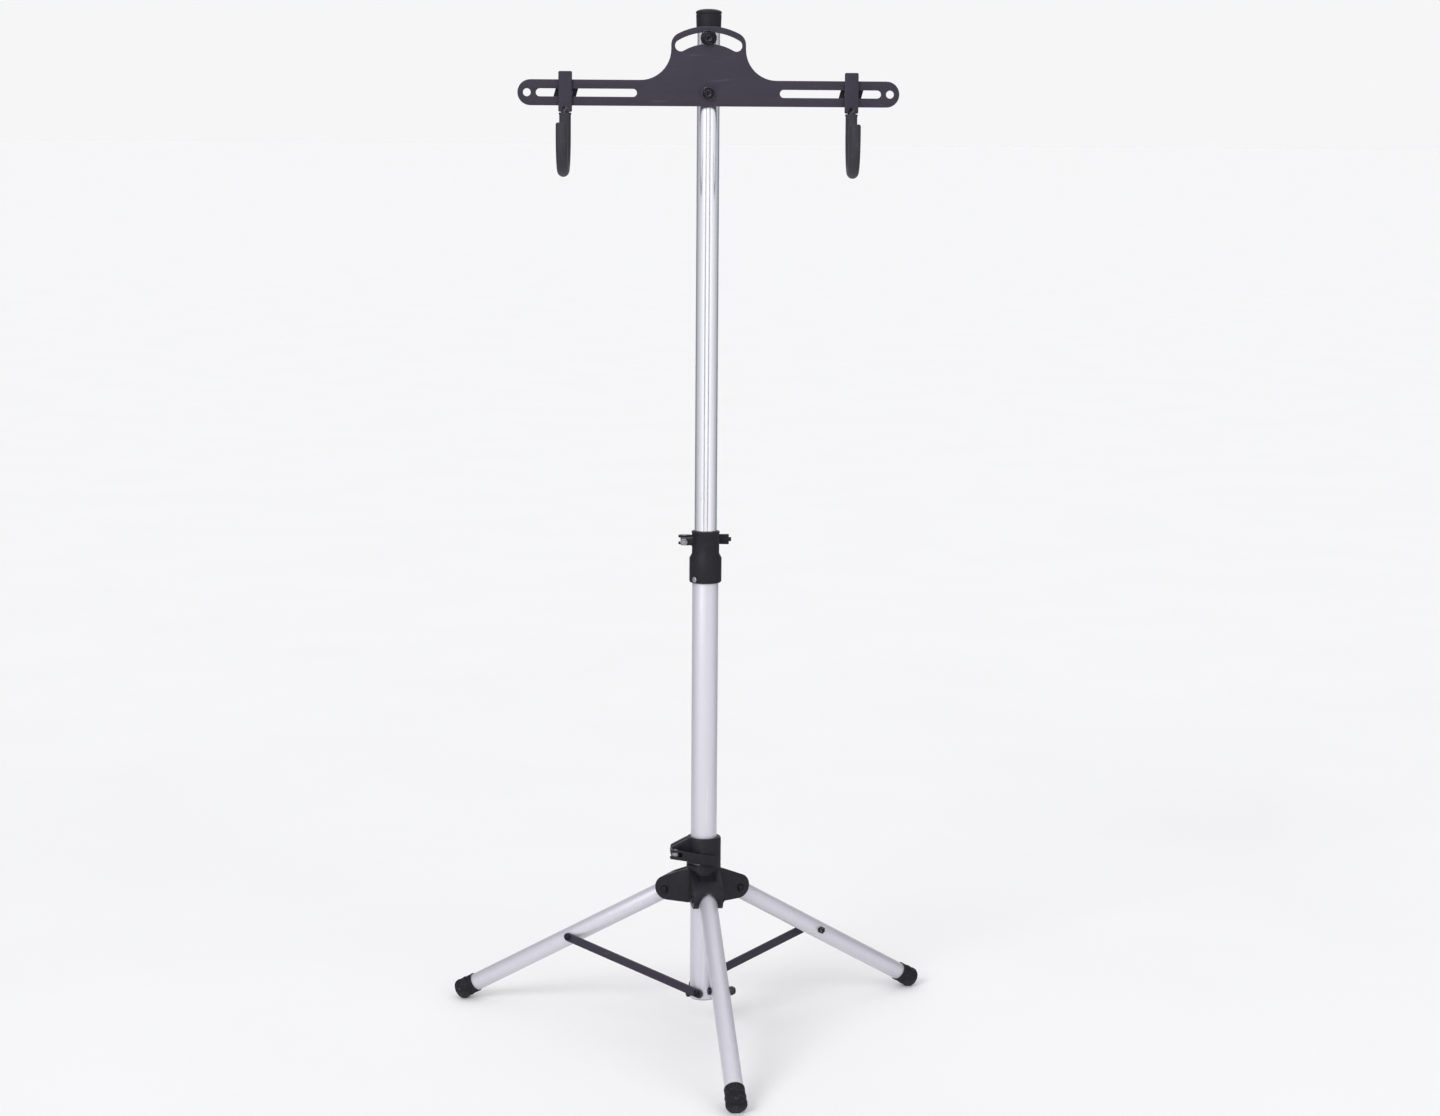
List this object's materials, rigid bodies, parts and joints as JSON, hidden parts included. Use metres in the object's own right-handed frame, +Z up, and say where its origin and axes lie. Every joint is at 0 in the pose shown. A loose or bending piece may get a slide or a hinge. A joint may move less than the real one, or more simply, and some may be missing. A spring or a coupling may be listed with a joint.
{
  "type": "bike repair stand",
  "caption": "Folding floor stand that lifts a bike by its frame: telescoping post, folding tripod base, and a tilting slotted plate with two sliding padded hooks.",
  "frame": {"origin": "centre of the post's lower end face, on the post's axis", "axes": "+Z up along the post; the head plate's arms lie along X; the plate's front and the hooks face -Y; the floor is the plane z = -0.0394 under the feet"},
  "size_m": [0.5997, 0.5559, 1.2538],
  "materials": {
    "silver_paint": "satin silver paint on steel tube",
    "bright_aluminium": "bright brushed",
    "black_steel": "black powder coat",
    "black_plastic": "moulded, fine grain",
    "rubber": "matte",
    "dark_zinc": "black zinc plate",
    "grey_plastic": "moulded",
    "bright_steel": "zinc plate"
  },
  "bodies": {
    "post": {"lower_tube": "silver_paint", "post_end_plug": "grey_plastic", "post_bolt_front": "dark_zinc", "post_bolt_left": "dark_zinc", "post_bolt_right": "dark_zinc", "post_nut_front": "dark_zinc", "post_nut_left": "dark_zinc", "post_nut_right": "dark_zinc", "height_collar": "black_plastic", "collar_rivet": "bright_steel", "collar_clamp_bolt": "bright_steel", "collar_clamp_nut": "bright_steel", "collar_lever_pin": "bright_steel"},
    "collar_lever": {"collar_cam_lever": "black_plastic"},
    "mast_slider": {"mast_end_plug": "black_plastic"},
    "mast": {"upper_tube": "bright_aluminium", "top_cap": "black_plastic", "pivot_saddle": "black_plastic", "arc_saddle": "black_plastic", "pivot_bolt": "dark_zinc", "pivot_washer": "dark_zinc", "pivot_nut": "dark_zinc", "arc_bolt": "dark_zinc", "arc_washer": "dark_zinc", "arc_nut": "dark_zinc"},
    "head": {"head_plate": "black_steel"},
    "hub": {"tripod_hub": "black_plastic", "hub_clamp_bolt": "bright_steel", "hub_clamp_nut": "bright_steel", "hub_lever_pin": "bright_steel", "leg_pivot_bolt_front": "dark_zinc", "leg_pivot_bolt_left": "dark_zinc", "leg_pivot_bolt_right": "dark_zinc"},
    "hub_lever": {"hub_cam_lever": "black_plastic"},
    "hook_slider_left": {"slot_washer_left": "dark_zinc"},
    "hook_left": {"hook_bar_left": "black_steel", "hook_stud_left": "dark_zinc", "hook_sleeve_left": "rubber"},
    "knob_left": {"hook_knob_left": "black_plastic"},
    "hook_slider_right": {"slot_washer_right": "dark_zinc"},
    "hook_right": {"hook_bar_right": "black_steel", "hook_stud_right": "dark_zinc", "hook_sleeve_right": "rubber"},
    "knob_right": {"hook_knob_right": "black_plastic"},
    "leg_front": {"leg_tube_front": "silver_paint", "foot_cap_front": "rubber", "leg_brace_bolt_front": "dark_zinc"},
    "brace_front": {"brace_front": "black_steel", "brace_bolt_head_front": "dark_zinc"},
    "leg_left": {"leg_tube_left": "silver_paint", "foot_cap_left": "rubber", "leg_brace_bolt_left": "dark_zinc"},
    "brace_left": {"brace_left": "black_steel", "brace_bolt_head_left": "dark_zinc"},
    "leg_right": {"leg_tube_right": "silver_paint", "foot_cap_right": "rubber", "leg_brace_bolt_right": "dark_zinc"},
    "brace_right": {"brace_right": "black_steel", "brace_bolt_head_right": "dark_zinc"}
  },
  "joints": [
    {"name": "mast_slide", "type": "slide", "parent": "post", "child": "mast_slider", "axis": [0, 0, 1], "range_m": [-0.39, 0.04]},
    {"name": "mast_turn", "type": "hinge", "parent": "mast_slider", "child": "mast", "pos_m": [0, 0, 0.5], "axis": [0, 0, 1], "continuous": true},
    {"name": "collar_lever_swing", "type": "hinge", "parent": "post", "child": "collar_lever", "pos_m": [-0.0264, 0.0151, 0.572], "axis": [0, 0, 1], "range_deg": [0, 120]},
    {"name": "head_tilt", "type": "hinge", "parent": "mast", "child": "head", "pos_m": [0, -0.01845, 1.1139], "axis": [0, 1, 0], "range_deg": [-30, 30]},
    {"name": "hook_slide_left", "type": "slide", "parent": "head", "child": "hook_slider_left", "axis": [-1, 0, 0], "range_m": [-0.08, 0.03]},
    {"name": "hook_swivel_left", "type": "hinge", "parent": "hook_slider_left", "child": "hook_left", "pos_m": [-0.1708, -0.0185, 1.1139], "axis": [0, 1, 0], "range_deg": [-30, 30]},
    {"name": "knob_turn_left", "type": "hinge", "parent": "hook_left", "child": "knob_left", "pos_m": [-0.1708, -0.008, 1.1139], "axis": [0, 1, 0], "continuous": true},
    {"name": "hook_slide_right", "type": "slide", "parent": "head", "child": "hook_slider_right", "axis": [1, 0, 0], "range_m": [-0.08, 0.03]},
    {"name": "hook_swivel_right", "type": "hinge", "parent": "hook_slider_right", "child": "hook_right", "pos_m": [0.1708, -0.0185, 1.1139], "axis": [0, 1, 0], "range_deg": [-30, 30]},
    {"name": "knob_turn_right", "type": "hinge", "parent": "hook_right", "child": "knob_right", "pos_m": [0.1708, -0.008, 1.1139], "axis": [0, 1, 0], "continuous": true},
    {"name": "hub_slide", "type": "slide", "parent": "post", "child": "hub", "axis": [0, 0, 1], "range_m": [0, 0.2085]},
    {"name": "hub_lever_swing", "type": "hinge", "parent": "hub", "child": "hub_lever", "pos_m": [-0.03441, -0.02019, 0.1866], "axis": [0, 0, 1], "range_deg": [-120, 0]},
    {"name": "leg_fold_front", "type": "hinge", "parent": "hub", "child": "leg_front", "pos_m": [0.00519, -0.0449, 0.1361], "axis": [0.9934, 0.1149, 0], "range_deg": [0, 60.58]},
    {"name": "brace_fold_front", "type": "hinge", "parent": "post", "child": "brace_front", "pos_m": [0, 0, 0.0052], "axis": [-0.9934, -0.1149, 0], "range_deg": [0, 59.48]},
    {"name": "leg_fold_left", "type": "hinge", "parent": "hub", "child": "leg_left", "pos_m": [-0.04148, 0.01795, 0.1361], "axis": [-0.3971, -0.9178, 0], "range_deg": [0, 60.58]},
    {"name": "brace_fold_left", "type": "hinge", "parent": "post", "child": "brace_left", "pos_m": [0, 0, 0.0097], "axis": [0.3971, 0.9178, 0], "range_deg": [0, 60.19]},
    {"name": "leg_fold_right", "type": "hinge", "parent": "hub", "child": "leg_right", "pos_m": [0.03629, 0.02695, 0.1361], "axis": [-0.5962, 0.8028, 0], "range_deg": [0, 60.58]},
    {"name": "brace_fold_right", "type": "hinge", "parent": "post", "child": "brace_right", "pos_m": [0, 0, 0.0142], "axis": [0.5962, -0.8028, 0], "range_deg": [0, 60.93]}
  ],
  "couplings": [
    {"joint": "leg_fold_front", "follows": "hub_slide", "rad_per_m": 5.0702},
    {"joint": "brace_fold_front", "follows": "hub_slide", "rad_per_m": 4.9778},
    {"joint": "leg_fold_left", "follows": "hub_slide", "rad_per_m": 5.0702},
    {"joint": "brace_fold_left", "follows": "hub_slide", "rad_per_m": 5.0379},
    {"joint": "leg_fold_right", "follows": "hub_slide", "rad_per_m": 5.0702},
    {"joint": "brace_fold_right", "follows": "hub_slide", "rad_per_m": 5.0994}
  ]
}
